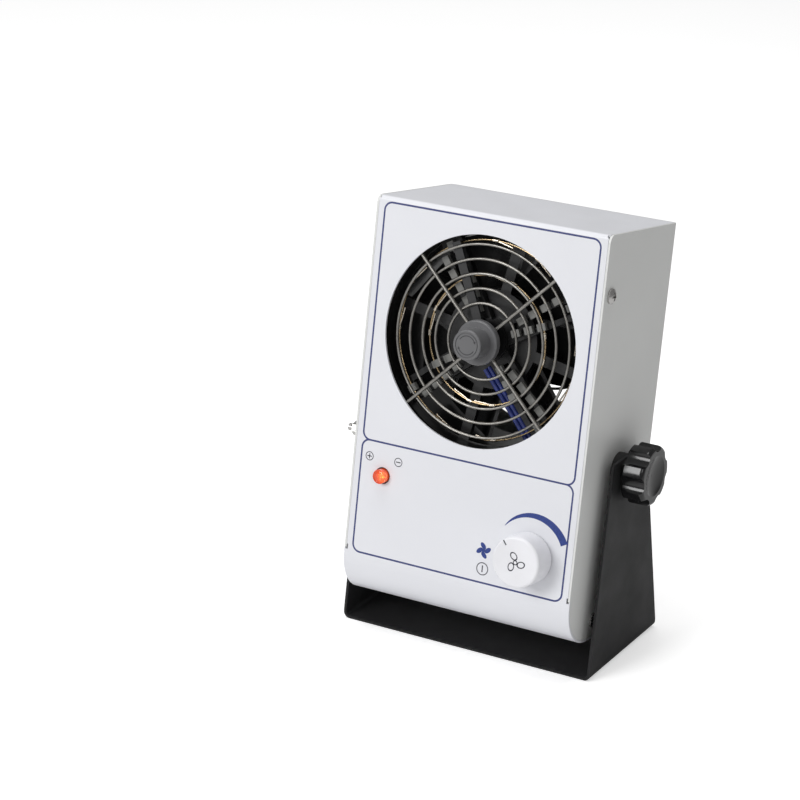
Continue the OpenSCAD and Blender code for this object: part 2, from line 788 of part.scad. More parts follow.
module fan_shaft() {
    color("silver") tilted() on_front(0, fan_z, rotor_depth + rotor_h)
        cylinder(d = fan_shaft_d, h = rotor_h + 3);
}

module intake_guard() {
    color("#8d8d8a") tilted() on_back(0, fan_z) translate([0, 0, 0.1]) mirror([0, 0, 1])
        wire_guard(2);
}

module intake_screws() {
    color("silver") tilted() on_back(0, fan_z) translate([0, 0, 0.1 + eyelet_t + 0.1])
        guard_corners() pan_screw(7.5, 2.4, stud_d, 6);
}

// ---- Electronics in the foot of the case ----

module supply_ears() {
    for (s = [-1, 1]) translate([s * (supply_size[0] / 2 - supply_ear / 2), -supply_size[1] / 2 - 4, 0])
        children();
}

module hv_supply() {
    color("#20242c") tilted() translate([supply_pos[0], supply_pos[1], floor_z]) difference() {
        union() {
            linear_extrude(supply_size[2]) round_rect(supply_size[0], supply_size[1], 2);
            supply_ears() translate([-supply_ear / 2, -supply_ear / 2, 0]) cube([supply_ear, supply_ear, 3]);
        }
        translate([0, 0, supply_size[2] - 1.5]) linear_extrude(3)
            round_rect(supply_size[0] - 4, supply_size[1] - 4, 1);
        supply_ears() translate([0, 0, -1]) cylinder(d = board_screw_d + 2 * hole_fit, h = 5);
    }
}

module supply_screws() {
    color("silver") tilted() translate([supply_pos[0], supply_pos[1], floor_z + 3])
        supply_ears() pan_screw(5.6, 2, board_screw_d, 2.9);
}

module board_corners() {
    for (sx = [-1, 1], sy = [-1, 1])
        translate([sx * (board_size[0] / 2 - 4), sy * (board_size[1] / 2 - 4), 0]) children();
}

module control_board() {
    color("#2f6b3c") tilted() translate([board_pos[0], board_pos[1], floor_z + board_up]) difference() {
        linear_extrude(board_size[2]) round_rect(board_size[0], board_size[1], 2);
        board_corners() translate([0, 0, -1]) cylinder(d = board_screw_d + 2 * hole_fit, h = 4);
    }
}

module board_parts() {
    z = floor_z + board_up + board_size[2];
    color("#3a3a3a") tilted() translate([board_pos[0], board_pos[1], z]) {
        translate([-22, -6, 0]) cylinder(d = 12, h = 20);
        translate([-6, -4, 0]) cylinder(d = 10, h = 16);
        translate([5, -16, 0]) cube([20, 18, 14]);
        translate([-24, 9, 0]) cube([14, 10, 6]);
        translate([10, 8, 0]) cube([14, 8, 8]);
    }
}

module board_standoffs() {
    color("silver") tilted() translate([board_pos[0], board_pos[1], floor_z])
        board_corners() tube(3, board_up, board_screw_d / 2 + run_fit, $fn = 24);
}

module board_screws() {
    color("silver") tilted() translate([board_pos[0], board_pos[1], floor_z + board_up + board_size[2]])
        board_corners() pan_screw(5.6, 2, board_screw_d, 6);
}

// ---- Front controls ----

module speed_pot() {
    color("#3b5f46") tilted() on_front(speed_x, -speed_drop, sheet_t + 0.1 + pot_body_t) difference() {
        union() {
            cylinder(d = pot_body_d, h = pot_body_t);
            cylinder(d = pot_bush_d, h = pot_body_t + sheet_t + 0.1 + pot_nut_t + 1);
        }
        translate([0, 0, pot_body_t - 3]) cylinder(r = pot_shaft_d / 2 + run_fit, h = 20);
    }
}

module pot_nut() {
    color("silver") tilted() on_front(speed_x, -speed_drop, 0)
        hex_nut(pot_nut_w, pot_nut_t, pot_bush_d / 2 + run_fit);
}

module pot_shaft() {
    from = sheet_t + 0.1 + 2.8;
    color("silver") tilted() on_front(speed_x, -speed_drop, from)
        cylinder(d = pot_shaft_d, h = from + knob_gap + speed_knob_h - 3.2);
}

module speed_knob() {
    color("#f1f0f2") tilted() on_front(speed_x, -speed_drop, -knob_gap) difference() {
        rotate_extrude($fn = 96) knob_section(speed_knob_d / 2, speed_knob_h, 1.6, 0.4);
        translate([0, 0, -1]) cylinder(r = knob_cavity_r, h = knob_cavity_t + 1);
        translate([0, 0, -1]) cylinder(r = pot_shaft_d / 2 + run_fit / 2, h = speed_knob_h - 2);
        rotate([0, 0, pointer_angle]) translate([speed_knob_d / 2 - 3.6, -0.4, speed_knob_h - 0.3])
            cube([4, 0.8, 1]);
    }
}

module indicator_lens() {
    color("#f0603a") tilted() on_front(-lens_x, -lens_drop, sheet_t + 5) {
        rotate_extrude() knob_section(lens_d / 2, sheet_t + 5 + lens_h, 1, 0.2);
    }
}

module indicator_body() {
    color("#1a1a1a") tilted() on_front(-lens_x, -lens_drop, sheet_t + 14) difference() {
        cylinder(d = lens_d + 4, h = 13.9);
        translate([0, 0, 8.9]) cylinder(d = lens_d + 2 * run_fit, h = 10);
    }
}

// ---- Needle cleaner ----

module cleaning_knob() {
    back = sheet_t + 0.1 - gap;
    color("#8b8b8c") tilted() on_front(0, fan_z, back) difference() {
        union() {
            rotate_extrude($fn = 64) knob_section(cleaner_skirt_d / 2, back + skirt_front, 1, 0.3);
            rotate_extrude($fn = 64) knob_section(cleaner_cap_d / 2, back + cleaner_h, 0.8, 0.3);
        }
        // ring groove in the cap
        translate([0, 0, back + cleaner_h - 0.4]) tube(cleaner_cap_d / 2 - 1.6, 1, cleaner_cap_d / 2 - 2.2);
        translate([0, 0, -1]) cylinder(r = cleaner_shaft_d / 2 + run_fit / 2, h = back + cleaner_h - 2);
    }
}

module cleaner_shaft() {
    from = brush_depth + brush_t + bristle_l + 5;
    color("silver") tilted() on_front(0, fan_z, from)
        cylinder(d = cleaner_shaft_d, h = from + cleaner_h - 4);
}

module cleaning_brush() {
    arm_w = 5;
    color("#3a3a3a") tilted() on_front(0, fan_z, brush_depth + brush_t) difference() {
        union() {
            cylinder(r = 7, h = brush_t);
            rotate([0, 0, arm_angles[1] - 6]) translate([0, -arm_w / 2, 0])
                cube([outer_ring_r + 1, arm_w, brush_t]);
        }
        translate([0, 0, -1]) cylinder(r = cleaner_shaft_d / 2 + run_fit / 2, h = brush_t + 2);
    }
}

module brush_bristles() {
    tuft_w = 3;
    color("#c9c8c2") tilted() on_front(0, fan_z, brush_depth + brush_t + bristle_l)
        rotate([0, 0, arm_angles[1] - 6])
        for (r = [inner_ring_r, outer_ring_r]) translate([r - 7, -tuft_w / 2, 0])
            cube([8, tuft_w, bristle_l]);
}

// ---- Mains inlet ----

// Places work on the outer face of the case at the inlet
module on_inlet() {
    on_back(-inlet_x, -inlet_drop) children();
}

module inlet_ears() {
    for (s = [-1, 1]) translate([s * inlet_screw_pitch / 2, 0]) children();
}

module power_inlet() {
    color("#191919") tilted() on_inlet() difference() {
        union() {
            translate([0, 0, -inlet_depth]) linear_extrude(inlet_depth + 0.2)
                square([inlet_w, inlet_h], center = true);
            linear_extrude(inlet_flange_t) round_rect(inlet_flange_w, inlet_h + 4, 4);
        }
        // socket
        translate([0, -inlet_h / 2 + 11, inlet_flange_t - 17]) linear_extrude(20)
            round_rect(24.4, 16.8, 2.5);
        // fuse drawer slot
        translate([0, inlet_h / 2 - 6, inlet_flange_t - drawer_l - 1]) linear_extrude(drawer_l + 3)
            square([drawer_w + 2 * hole_fit, drawer_h + 2 * hole_fit], center = true);
        inlet_ears() translate([0, 0, -1]) cylinder(d = 3 + 2 * hole_fit, h = inlet_flange_t + 2);
    }
}

module inlet_pins() {
    color("silver") tilted() on_inlet()
        translate([0, -inlet_h / 2 + 11, inlet_flange_t - 17]) {
            for (s = [-1, 1]) translate([s * 7 - 1, -4, 0]) cube([2, 4, 14]);
            translate([-1, 1, 0]) cube([2, 4, 15]);
        }
}

module inlet_screws() {
    color("silver") tilted() on_inlet() translate([0, 0, inlet_flange_t])
        inlet_ears() pan_screw(5.6, 1.8, 3, 6);
}

module fuse_drawer() {
    color("#141414") tilted() on_inlet()
        translate([0, inlet_h / 2 - 6, inlet_flange_t - drawer_l + 0.1]) difference() {
            union() {
                linear_extrude(drawer_l) square([drawer_w, drawer_h], center = true);
                translate([0, 0, drawer_l]) linear_extrude(1.2)
                    square([drawer_w + 2, drawer_h + 1.2], center = true);
            }
            translate([-fuse_l / 2 - 0.5, -fuse_d / 2 - 0.2, 3]) cube([fuse_l + 1, drawer_h, fuse_d + 0.4]);
        }
}

module fuse() {
    color("#dfe6ea") tilted() on_inlet()
        translate([-fuse_l / 2, inlet_h / 2 - 6, inlet_flange_t - drawer_l + 3.2 + fuse_d / 2])
            rotate([0, 90, 0]) cylinder(d = fuse_d, h = fuse_l);
}

u_bracket();
ground_stud();
ground_nuts();
front_shell();
wrap_cover();
cover_screws();
pivot_nuts();
pivot_spacers();
pivot_screw();
clamp_washer();
outlet_grille();
fan_studs();
fan_nuts();
emitter_frame();
needle_holders();
inner_wire_ring();
outer_wire_ring();
inner_needles();
outer_needles();
hv_leads();
fan_frame();
fan_stator();
intake_guard();
intake_screws();
hv_supply();
supply_screws();
control_board();
board_parts();
board_standoffs();
board_screws();
speed_pot();
pot_nut();
indicator_lens();
indicator_body();
power_inlet();
inlet_pins();
inlet_screws();
fan_rotor();
fan_shaft();
speed_knob();
pot_shaft();
cleaning_knob();
cleaner_shaft();
cleaning_brush();
brush_bristles();
clamp_knob();
clamp_stud();
fuse_drawer();
fuse();
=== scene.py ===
import json
import math

import bpy
from mathutils import Matrix, Vector


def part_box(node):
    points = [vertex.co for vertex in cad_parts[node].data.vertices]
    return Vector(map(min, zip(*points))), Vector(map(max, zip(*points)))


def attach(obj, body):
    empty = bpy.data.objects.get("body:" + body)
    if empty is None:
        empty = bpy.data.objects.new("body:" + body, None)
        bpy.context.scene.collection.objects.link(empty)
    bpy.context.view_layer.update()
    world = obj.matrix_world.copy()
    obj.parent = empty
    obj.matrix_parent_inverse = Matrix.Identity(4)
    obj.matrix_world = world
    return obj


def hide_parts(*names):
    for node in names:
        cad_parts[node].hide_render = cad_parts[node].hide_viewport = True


bl_info = {
    "name": "Ionizing blower looks",
    "version": (1, 0, 0),
    "blender": (4, 5, 0),
    "location": "View3D > Sidebar > Blower",
    "description": "Finishes, prints and small parts of a tilting bench-top ionizing blower",
    "category": "Object",
}

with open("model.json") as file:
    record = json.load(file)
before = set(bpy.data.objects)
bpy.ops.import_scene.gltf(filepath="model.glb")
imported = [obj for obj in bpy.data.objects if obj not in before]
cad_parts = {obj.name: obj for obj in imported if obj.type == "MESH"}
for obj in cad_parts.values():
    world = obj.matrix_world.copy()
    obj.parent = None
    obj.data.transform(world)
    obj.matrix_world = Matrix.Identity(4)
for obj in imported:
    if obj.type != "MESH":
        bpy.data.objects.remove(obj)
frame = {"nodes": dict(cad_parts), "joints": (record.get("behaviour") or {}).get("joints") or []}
MM = 0.001
NODES = frame["nodes"]
JOINTS = {joint["name"]: joint for joint in frame["joints"]}
OUT = Vector(JOINTS["speed_turn"]["axis"])
LEAN = math.asin(OUT.z)
PIVOT = Vector(JOINTS["tilt"]["pos_m"])
CASE = Matrix.Translation(PIVOT) @ Matrix.Rotation(-LEAN, 4, "X")
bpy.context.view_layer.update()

# Middles of the signs on the front: millimetres right of the fan's axis, and up the case from the tilt axis
FAN_SIGN_AT = (16.0, -50.2)
ON_SIGN_AT = (16.3, -60.4)
PLUS_SIGN_AT = (-59.6, -13.2)
MINUS_SIGN_AT = (-41.4, -13.2)

# The speed arc, in degrees from the right of its knob, and the knob's pointer
ARC_START = 138
ARC_SWEEP = 109
POINTER_TURN = 128
POINTER_SUNK = 0.28

# The arrows on the cleaning knob: where each starts and how far it runs, in degrees
ARROW_STARTS = (25, 205)
ARROW_SWEEP = 125

# The lower frame's film lies this much deeper, in millimetres, where the two frames share a line
SHARED_LINE_SUNK = 0.01

# The camera, in degrees and metres, and the lamps: name, place, aim, width and power in watts
CAMERA_YAW, CAMERA_PITCH, CAMERA_ROLL = 30.516, 20.984, 0.44
CAMERA_VIEW = 16.679
CAMERA_AT = (0.6565, -1.2254, 0.6657)
LAMPS = (
    ("key", (-0.9, -2.1, 1.3), (0, 0, 0.12), 1.1, 31.0),
    ("top", (-0.2, 0.1, 2.1), (0, 0, 0.12), 1.2, 20.0),
    ("side", (1.6, -1.6, 1.2), (0, 0, 0.12), 0.5, 3.4),
)
WORLD_LEVEL = 0.26
FLOOR_GLOW = 0.5


def in_case(point):
    """A point of the row frame, in the upright frame of the case, in millimetres."""
    return (CASE.inverted() @ Vector(point)) / MM


SPEED = in_case(JOINTS["speed_turn"]["pos_m"])
FAN = in_case(JOINTS["cleaner_turn"]["pos_m"])
FRONT_Y = SPEED.y


def proud(node):
    """How far a CAD node stands out of the front of the case, in millimetres."""
    turn = CASE.inverted()
    return FRONT_Y - min((turn @ vertex.co).y for vertex in NODES[node].data.vertices) / MM


def middle(node):
    """The middle of a CAD node, in the case frame, in millimetres."""
    low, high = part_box(node)
    return in_case((low + high) / 2)


# ---- Selecting, placing and applying ----

def deselect():
    if bpy.context.object and bpy.context.object.mode != "OBJECT":
        bpy.ops.object.mode_set(mode="OBJECT")
    bpy.ops.object.select_all(action="DESELECT")


def take(obj):
    """Makes obj the only selected object."""
    deselect()
    obj.select_set(True)
    bpy.context.view_layer.objects.active = obj
    return obj


def started(name):
    """Names the primitive that was just added."""
    obj = bpy.context.object
    obj.name = name
    obj.data.name = name
    return take(obj)


def apply_modifiers(obj):
    take(obj)
    for modifier in list(obj.modifiers):
        bpy.ops.object.modifier_apply(modifier=modifier.name)
    return obj


def pick(obj, test):
    """Enters edit mode with the faces chosen whose centre and normal pass the test."""
    take(obj)
    bpy.ops.object.mode_set(mode="EDIT")
    bpy.ops.mesh.select_mode(type="FACE")
    bpy.ops.mesh.select_all(action="DESELECT")
    bpy.ops.object.mode_set(mode="OBJECT")
    for face in obj.data.polygons:
        face.select = test(face.center, face.normal)
    bpy.ops.object.mode_set(mode="EDIT")


def done_editing():
    bpy.ops.object.mode_set(mode="OBJECT")


def tidy_mesh(obj, distance=1e-6):
    take(obj)
    bpy.ops.object.mode_set(mode="EDIT")
    bpy.ops.mesh.select_all(action="SELECT")
    bpy.ops.mesh.remove_doubles(threshold=distance)
    bpy.ops.mesh.normals_make_consistent(inside=False)
    bpy.ops.object.mode_set(mode="OBJECT")
    return obj


def round_edges(obj, width, segments=3, angle=30):
    """Rounds every edge sharper than the angle; the width is in millimetres."""
    bevel = obj.modifiers.new("round", "BEVEL")
    bevel.width = width * MM
    bevel.segments = segments
    bevel.limit_method = "ANGLE"
    bevel.angle_limit = math.radians(angle)
    return apply_modifiers(obj)


def smooth(obj, angle=35):
    take(obj)
    bpy.ops.object.shade_smooth_by_angle(angle=math.radians(angle))
    return obj


def join(parts, name):
    take(parts[0])
    for part in parts:
        part.select_set(True)
    bpy.ops.object.join()
    obj = bpy.context.object
    obj.name = name
    obj.data.name = name
    return obj


def place(obj, matrix):
    """Moves the piece and puts its place into its mesh."""
    obj.matrix_world = matrix @ obj.matrix_world
    take(obj)
    bpy.ops.object.transform_apply(location=True, rotation=True, scale=True)
    return obj


def front_frame(x=0.0, v=0.0, out=0.0):
    """The frame of work on the front of the case: x right, y up the case, z out of it. In millimetres."""
    turn = Matrix.Rotation(math.radians(90), 4, "X")
    return CASE @ Matrix.Translation(Vector((x, FRONT_Y - out, v)) * MM) @ turn


def dress(obj, material, body, slot, *replaced):
    """Gives a new piece its material and its body, and hides the CAD nodes it stands for. The slot is not used."""
    obj.data.materials.clear()
    obj.data.materials.append(material)
    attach(obj, body)
    if replaced:
        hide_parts(*replaced)
    return obj


# ---- Material nodes ----

class Nodes:
    """A short way to write a material's nodes."""

    def __init__(self, name):
        self.material = bpy.data.materials.new(name)
        self.material.use_nodes = True
        self.tree = self.material.node_tree
        self.shader = self.tree.nodes["Principled BSDF"]
        self.coords = self.tree.nodes.new("ShaderNodeTexCoord").outputs["Object"]

    def link(self, a, b):
        self.tree.links.new(a, b)

    def mapped(self, scale):
        node = self.tree.nodes.new("ShaderNodeMapping")
        node.inputs["Scale"].default_value = scale
        self.link(self.coords, node.inputs["Vector"])
        return node.outputs["Vector"]

    def noise(self, scale, detail=4.0, at=None):
        node = self.tree.nodes.new("ShaderNodeTexNoise")
        node.inputs["Scale"].default_value = scale
        node.inputs["Detail"].default_value = detail
        self.link(at or self.coords, node.inputs["Vector"])
        return node.outputs["Fac"]

    def cells(self, scale):
        node = self.tree.nodes.new("ShaderNodeTexVoronoi")
        node.inputs["Scale"].default_value = scale
        self.link(self.coords, node.inputs["Vector"])
        return node.outputs["Distance"]

    def spread(self, value, low, high, start=0.3, end=0.7):
        """Maps a value between start and end onto low to high."""
        node = self.tree.nodes.new("ShaderNodeMapRange")
        node.inputs["From Min"].default_value = start
        node.inputs["From Max"].default_value = end
        node.inputs["To Min"].default_value = low
        node.inputs["To Max"].default_value = high
        self.link(value, node.inputs["Value"])
        return node.outputs["Result"]

    def math(self, operation, a, b=0.0):
        node = self.tree.nodes.new("ShaderNodeMath")
        node.operation = operation
        for i, value in enumerate((a, b)):
            if isinstance(value, (int, float)):
                node.inputs[i].default_value = value
            else:
                self.link(value, node.inputs[i])
        return node.outputs["Value"]

    def mix(self, factor, a, b):
        node = self.tree.nodes.new("ShaderNodeMix")
        node.data_type = "RGBA"
        for socket, value in ((node.inputs[0], factor), (node.inputs[6], a), (node.inputs[7], b)):
            if isinstance(value, (int, float)):
                socket.default_value = value
            elif isinstance(value, tuple):
                socket.default_value = value + (1.0,) * (4 - len(value))
            else:
                self.link(value, socket)
        return node.outputs[2]

    def edges(self, low=0.5, high=0.58):
        """Bright where the surface turns outwards, along worn edges."""
        node = self.tree.nodes.new("ShaderNodeNewGeometry")
        return self.spread(node.outputs["Pointiness"], 0.0, 1.0, low, high)

    def bump(self, height, strength, distance=0.1):
        node = self.tree.nodes.new("ShaderNodeBump")
        node.inputs["Strength"].default_value = strength
        node.inputs["Distance"].default_value = distance * MM
        self.link(height, node.inputs["Height"])
        last = self.shader.inputs["Normal"]
        if last.links:
            self.link(last.links[0].from_socket, node.inputs["Normal"])
        self.link(node.outputs["Normal"], last)

    def set(self, **values):
        names = {"color": "Base Color", "rough": "Roughness", "metal": "Metallic", "coat": "Coat Weight",
                 "coat_rough": "Coat Roughness", "specular": "Specular IOR Level",
                 "through": "Transmission Weight", "glow": "Emission Strength", "glow_color": "Emission Color"}
        for key, value in values.items():
            socket = self.shader.inputs[names[key]]
            if isinstance(value, (int, float)):
                socket.default_value = value
            elif isinstance(value, tuple):
                socket.default_value = value + (1.0,) * (4 - len(value))
            else:
                self.link(value, socket)
        return self


def shade(color, factor):
    return tuple(c * factor for c in color[:3])


def powder_coat(name, color, rough=0.42, grain=1100.0, strength=0.25, mottle=0.04, wear=0.0, specular=0.4):
    """Baked powder coat: fine orange peel, faint mottling, and a little wear along the edges."""
    n = Nodes(name)
    patch = n.noise(14.0, 3.0)
    tone = n.mix(n.spread(patch, 0.0, 1.0), shade(color, 1 - mottle), shade(color, 1 + mottle / 2))
    if wear:
        tone = n.mix(n.math("MULTIPLY", n.edges(), wear), tone, (0.42, 0.42, 0.43))
    n.set(color=tone, specular=specular, rough=n.spread(n.noise(60.0, 3.0), rough - 0.05, rough + 0.06))
    n.bump(n.noise(grain, 2.0), strength, 0.06)
    n.bump(n.noise(grain / 5, 2.0), strength * 0.6, 0.12)
    return n.material


def moulded(name, color, rough=0.45, strength=0.2, coat=0.0, grain=1800.0):
    """Moulded plastic: spark-eroded grain and slightly uneven gloss."""
    n = Nodes(name)
    tone = n.mix(n.spread(n.noise(30.0, 3.0), 0.0, 1.0), shade(color, 0.93), shade(color, 1.05))
    n.set(color=tone, rough=n.spread(n.noise(90.0, 3.0), rough - 0.05, rough + 0.07), coat=coat, coat_rough=0.12)
    n.bump(n.cells(grain), strength, 0.03)
    return n.material


def steel(name, color, rough=0.3, along="X", strength=0.15):
    """Drawn or turned metal with fine lines along one axis and patches of duller plating."""
    n = Nodes(name)
    stretch = {"X": (40, 900, 900), "Y": (900, 40, 900), "Z": (900, 900, 40)}[along]
    lines = n.noise(1.0, 3.0, at=n.mapped(scale=stretch))
    patch = n.noise(120.0, 4.0)
    tone = n.mix(n.spread(patch, 0.0, 1.0), shade(color, 0.82), shade(color, 1.06))
    n.set(color=tone, metal=1.0, rough=n.spread(lines, rough - 0.08, rough + 0.12))
    n.bump(lines, strength, 0.02)
    return n.material


def ink(name, color):
    """Screen-printed ink: a slightly uneven film."""
    n = Nodes(name)
    tone = n.mix(n.spread(n.noise(900.0, 3.0), 0.0, 1.0), shade(color, 0.85), shade(color, 1.15))
    n.set(color=tone, rough=0.4)
    n.bump(n.noise(1500.0, 2.0), 0.1, 0.02)
    return n.material


def paint_node(node, material):
    """Gives a CAD node its finish."""
    obj = NODES[node]
    obj.data.materials.clear()
    obj.data.materials.append(material)
    return obj


def srgb(r, g, b):
    """A colour written in display values from 0 to 255, as the linear values that shaders take."""
    return tuple(((c / 255 + 0.055) / 1.055) ** 2.4 if c > 10.3 else c / 255 / 12.92 for c in (r, g, b))


# ---- Settings ----

def color_setting(name, description, default):
    return bpy.props.FloatVectorProperty(
        name=name, description=description, default=default, size=3, min=0.0, max=1.0, subtype="COLOR")


class BlowerFinishes(bpy.types.PropertyGroup):
    case_color: color_setting("Case front", "Powder coat of the front sheet", srgb(232, 233, 238))
    cover_color: color_setting("Cover", "Powder coat of the wrap-round cover", srgb(226, 227, 225))
    bracket_color: color_setting("Bracket", "Powder coat of the bracket", srgb(26, 26, 27))
    print_color: color_setting("Print", "Ink of the frames on the front", srgb(58, 66, 118))
    arc_color: color_setting("Speed arc", "Ink of the speed arc and the fan sign", srgb(38, 60, 132))
    knob_color: color_setting("Speed knob", "Moulding of the speed knob", srgb(236, 236, 240))
    lens_color: color_setting("Lens", "Tint of the indicator lens", srgb(240, 74, 30))
    glow: bpy.props.FloatProperty(
        name="Lamp glow", description="Brightness of the lamp in the indicator", default=2.2, min=0.0, max=20.0)


class BlowerSizes(bpy.types.PropertyGroup):
    line: bpy.props.FloatProperty(
        name="Line width", description="Width of the printed frame lines", default=1.0 * MM, unit="LENGTH")
    frame_half: bpy.props.FloatProperty(
        name="Frame half width", description="From the middle of the case to the frame's outside",
        default=65.3 * MM, unit="LENGTH")
    frame_top: bpy.props.FloatProperty(
        name="Frame top", description="Height of the upper frame above the tilt axis",
        default=127.4 * MM, unit="LENGTH")
    frame_middle: bpy.props.FloatProperty(
        name="Frame middle", description="Height of the line between the frames, from the tilt axis",
        default=-4.3 * MM, unit="LENGTH")
    frame_bottom: bpy.props.FloatProperty(
        name="Frame bottom", description="Height of the lower frame's foot, from the tilt axis",
        default=-68.6 * MM, unit="LENGTH")
    corner: bpy.props.FloatProperty(
        name="Frame corner", description="Corner radius of the printed frames", default=5.0 * MM, unit="LENGTH")
    ink: bpy.props.FloatProperty(
        name="Ink thickness", description="How far the print stands off the paint", default=0.04 * MM, unit="LENGTH")


def sizes():
    return bpy.context.scene.blower_sizes


def finishes():
    return bpy.context.scene.blower_finishes


# ---- Flat printed shapes, drawn in the front frame ----

def raise_ink(obj):
    """Turns a flat mesh into a film of ink that starts just inside the paint."""
    film = obj.modifiers.new("film", "SOLIDIFY")
    film.thickness = sizes().ink * 2
    film.offset = 0.0
    return tidy_mesh(apply_modifiers(obj))


def flat_ring(name, outer, width, segments=96):
    bpy.ops.mesh.primitive_circle_add(vertices=segments, radius=outer * MM, fill_type="NOTHING")
    obj = started(name)
    bpy.ops.object.mode_set(mode="EDIT")
    bpy.ops.mesh.select_all(action="SELECT")
    bpy.ops.mesh.extrude_edges_move()
    factor = (outer - width) / outer
    bpy.ops.transform.resize(value=(factor, factor, 1))
    done_editing()
    return obj


def flat_bar(name, width, height, x=0.0, v=0.0, turn=0.0):
    bpy.ops.mesh.primitive_plane_add(size=1)
    obj = started(name)
    obj.scale = (width * MM, height * MM, 1)
    obj.rotation_euler.z = math.radians(turn)
    obj.location = (x * MM, v * MM, 0)
    bpy.ops.object.transform_apply(location=True, rotation=True, scale=True)
    return obj


def flat_frame(name, half, top, bottom, corner, width):
    """Outline of a rectangle with round corners."""
    bpy.ops.mesh.primitive_plane_add(size=1)
    obj = started(name)
    obj.scale = (2 * half, top - bottom, 1)
    obj.location = (0, (top + bottom) / 2, 0)
    bpy.ops.object.transform_apply(location=True, rotation=True, scale=True)
    bpy.ops.object.mode_set(mode="EDIT")
    bpy.ops.mesh.select_all(action="SELECT")
    bpy.ops.mesh.bevel(offset=corner, offset_type="OFFSET", segments=10, affect="VERTICES")
    bpy.ops.mesh.select_all(action="SELECT")
    bpy.ops.mesh.inset(thickness=width, depth=0)
    bpy.ops.mesh.delete(type="FACE")
    done_editing()
    return obj


def flat_disc(name, across, up, x=0.0, v=0.0, turn=0.0, segments=32):
    """A filled ellipse; across and up are its half sizes."""
    bpy.ops.mesh.primitive_circle_add(vertices=segments, radius=1, fill_type="NGON")
    obj = started(name)
    obj.scale = (across * MM, up * MM, 1)
    obj.rotation_euler.z = math.radians(turn)
    obj.location = (x * MM, v * MM, 0)
    bpy.ops.object.transform_apply(location=True, rotation=True, scale=True)
    return obj


def shifted(obj, x=0.0, v=0.0, turn=0.0, scale=(1, 1, 1)):
    """Scales, turns and then moves a flat shape in its own plane."""
    matrix = (Matrix.Translation((x * MM, v * MM, 0)) @ Matrix.Rotation(math.radians(turn), 4, "Z")
              @ Matrix.Diagonal((*scale, 1)))
    return place(obj, matrix)


def printed(parts, name, matrix, material, body, slot):
    """Joins flat shapes into one film of ink and sets it on its surface."""
    obj = join(parts, name) if len(parts) > 1 else parts[0]
    obj.name = name
    obj.data.name = name
    raise_ink(obj)
    place(obj, matrix)
    return dress(obj, material, body, slot)


class BLOWER_OT_sheets(bpy.types.Operator):
    """Powder coat on the case and the bracket"""
    bl_idname = "blower.sheets"
    bl_label = "Case and bracket finish"

    def execute(self, context):
        f = finishes()
        paint_node("front_shell", powder_coat("front paint", tuple(f.case_color), 0.36, 900.0, 0.12, 0.015, 0.05))
        paint_node("wrap_cover", powder_coat("cover paint", tuple(f.cover_color), 0.4, 900.0, 0.14, 0.02, 0.05))
        paint_node("u_bracket", powder_coat("bracket paint", tuple(f.bracket_color), 0.46, 700.0, 0.3, 0.12, 0.03,
                                             0.16))
        return {"FINISHED"}


class BLOWER_OT_metalwork(bpy.types.Operator):
    """Plated and stainless finishes on screws, nuts, studs and wires"""
    bl_idname = "blower.metalwork"
    bl_label = "Metalwork finish"

    def execute(self, context):
        stainless = steel("stainless", (0.55, 0.54, 0.53), 0.26)
        zinc = steel("zinc plate", (0.62, 0.62, 0.6), 0.3)
        wire = steel("guard wire", (0.3, 0.29, 0.27), 0.34)
        for node in ("ground_stud", "cover_screws", "intake_screws", "clamp_washer", "clamp_stud", "fan_shaft",
                     "pot_shaft", "cleaner_shaft", "speed_pot"):
            paint_node(node, stainless)
        for node in ("ground_nuts", "pivot_nuts", "pivot_screw", "fan_studs", "fan_nuts", "supply_screws",
                     "board_standoffs", "board_screws", "pot_nut", "inlet_pins", "inlet_screws"):
            paint_node(node, zinc)
        for node in ("outlet_grille", "intake_guard"):
            paint_node(node, wire)
        return {"FINISHED"}


class BLOWER_OT_ionizer(bpy.types.Operator):
    """Finishes of the emitter frame, its rings, needles and leads"""
    bl_idname = "blower.ionizer"
    bl_label = "Ionizer finish"

    def execute(self, context):
        paint_node("emitter_frame", moulded("emitter moulding", (0.007, 0.007, 0.0075), 0.34))
        # the needle holders' lighter grey on the black frame is partly their own colour and partly painted
        # highlight: it stands for the glints along the emitter arms
        paint_node("needle_holders", moulded("holder moulding with painted glints", (0.2, 0.2, 0.19), 0.42))
        brass = steel("ring wire", (0.62, 0.47, 0.28), 0.25)
        paint_node("inner_wire_ring", brass)
        paint_node("outer_wire_ring", brass)
        needle = steel("needle metal", (0.8, 0.72, 0.6), 0.2)
        paint_node("inner_needles", needle)
        paint_node("outer_needles", needle)
        paint_node("hv_leads", moulded("blue insulation", (0.02, 0.035, 0.19), 0.35))
        paint_node("cleaning_brush", moulded("brush arm", (0.02, 0.02, 0.021), 0.45))
        paint_node("brush_bristles", moulded("bristles", (0.5, 0.5, 0.46), 0.6, 0.6, grain=3500.0))
        return {"FINISHED"}


class BLOWER_OT_fan(bpy.types.Operator):
    """Finishes of the fan"""
    bl_idname = "blower.fan"
    bl_label = "Fan finish"

    def execute(self, context):
        black = moulded("fan moulding", (0.008, 0.008, 0.0085), 0.36, 0.25)
        paint_node("fan_frame", black)
        paint_node("fan_rotor", moulded("rotor moulding", (0.012, 0.012, 0.0125), 0.3, 0.2))
        paint_node("fan_stator", steel("wound copper", (0.55, 0.26, 0.12), 0.35, "Z", 0.6))
        return {"FINISHED"}


